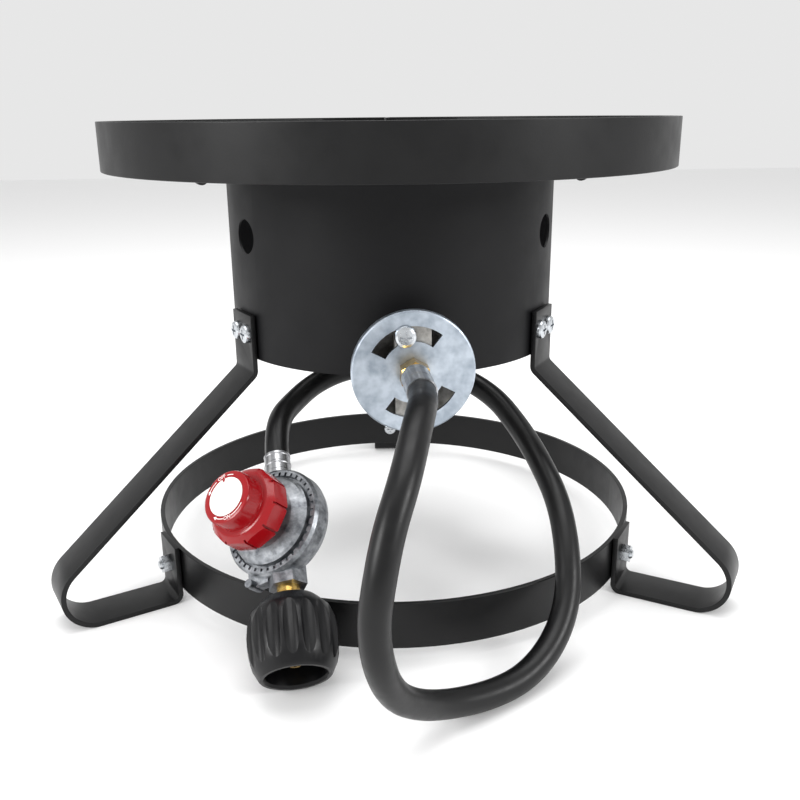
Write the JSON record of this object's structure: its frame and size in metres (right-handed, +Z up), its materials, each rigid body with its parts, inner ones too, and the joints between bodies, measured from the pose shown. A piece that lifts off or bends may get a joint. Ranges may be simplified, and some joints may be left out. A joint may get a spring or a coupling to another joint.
{
  "type": "outdoor propane cooker",
  "caption": "Round outdoor gas burner stand with a pot hoop, wind shield, bent flat-bar legs, base ring, air shutter, looped gas hose and a regulator with a red knob and black tank nut.",
  "frame": {"origin": "on the wind shield's axis at floor level", "axes": "+Z up, -Y towards the burner's air intake, +X to the right seen from the intake"},
  "size_m": [0.4213, 0.5051, 0.289],
  "materials": {
    "painted_bar": "semi-gloss black powder coat",
    "painted_sheet": "satin black powder coat",
    "zinc_fasteners": "bright zinc plate",
    "cast_burner": "bare casting, rough",
    "zinc_sheet": "zinc-plated sheet, slightly mottled",
    "brass_fittings": "machined brass",
    "plated_ferrules": "plated and crimped",
    "die_cast_zinc": "die-cast zinc, mottled",
    "inner_steel": "plain steel",
    "inner_rubber": "rubber sheet",
    "red_plastic": "glossy deep red",
    "white_label": "white, plain",
    "black_plastic": "satin black",
    "hose_rubber": "satin black, finely ribbed"
  },
  "bodies": {
    "stand": {"top_hoop": "painted_bar", "base_ring": "painted_bar", "leg_1": "painted_bar", "leg_2": "painted_bar", "leg_3": "painted_bar", "pot_support_1": "painted_bar", "pot_support_2": "painted_bar", "pot_support_3": "painted_bar", "burner_bracket": "painted_bar", "wind_shield": "painted_sheet", "leg_screws": "zinc_fasteners", "leg_screw_nuts": "zinc_fasteners", "ring_bolts": "zinc_fasteners", "ring_bolt_nuts": "zinc_fasteners", "burner_bolts": "zinc_fasteners", "burner_bolt_nuts": "zinc_fasteners", "burner_cap_screw": "zinc_fasteners", "burner_casting": "cast_burner", "burner_cap": "cast_burner", "gas_orifice": "brass_fittings", "inlet_nipple": "brass_fittings", "hose_ferrule_burner": "plated_ferrules", "hose_ferrule_regulator": "plated_ferrules", "regulator_body": "die_cast_zinc", "regulator_bonnet": "die_cast_zinc", "diaphragm_plate": "inner_steel", "adjusting_spring": "inner_steel", "spring_seat": "inner_steel", "flow_check_ball": "inner_steel", "diaphragm": "inner_rubber", "hose": "hose_rubber"},
    "air_shutter": {"air_shutter": "zinc_sheet"},
    "shutter_lock_screw": {"shutter_lock_screw": "zinc_fasteners"},
    "pressure_knob": {"pressure_knob": "red_plastic", "knob_label": "white_label", "adjusting_stem": "brass_fittings"},
    "tank_nut": {"tank_nut": "black_plastic"}
  },
  "joints": [
    {"name": "air_shutter_turn", "type": "hinge", "parent": "stand", "child": "air_shutter", "pos_m": [0, -0.128, 0.158], "axis": [0, -1, 0], "range_deg": [-42, 42]},
    {"name": "shutter_lock_screw_turn", "type": "hinge", "parent": "stand", "child": "shutter_lock_screw", "pos_m": [-0.00443, -0.13, 0.17832], "axis": [0, -1, 0], "range_deg": [0, 360]},
    {"name": "pressure_knob_turn", "type": "hinge", "parent": "stand", "child": "pressure_knob", "pos_m": [-0.075, -0.1236, 0.06719], "axis": [-0.5575, -0.5191, 0.6478], "range_deg": [-900, 0]},
    {"name": "tank_nut_spin", "type": "hinge", "parent": "stand", "child": "tank_nut", "pos_m": [-0.06909, -0.19398, 0.01588], "axis": [-0.0677, 0.8062, 0.5878], "continuous": true}
  ]
}
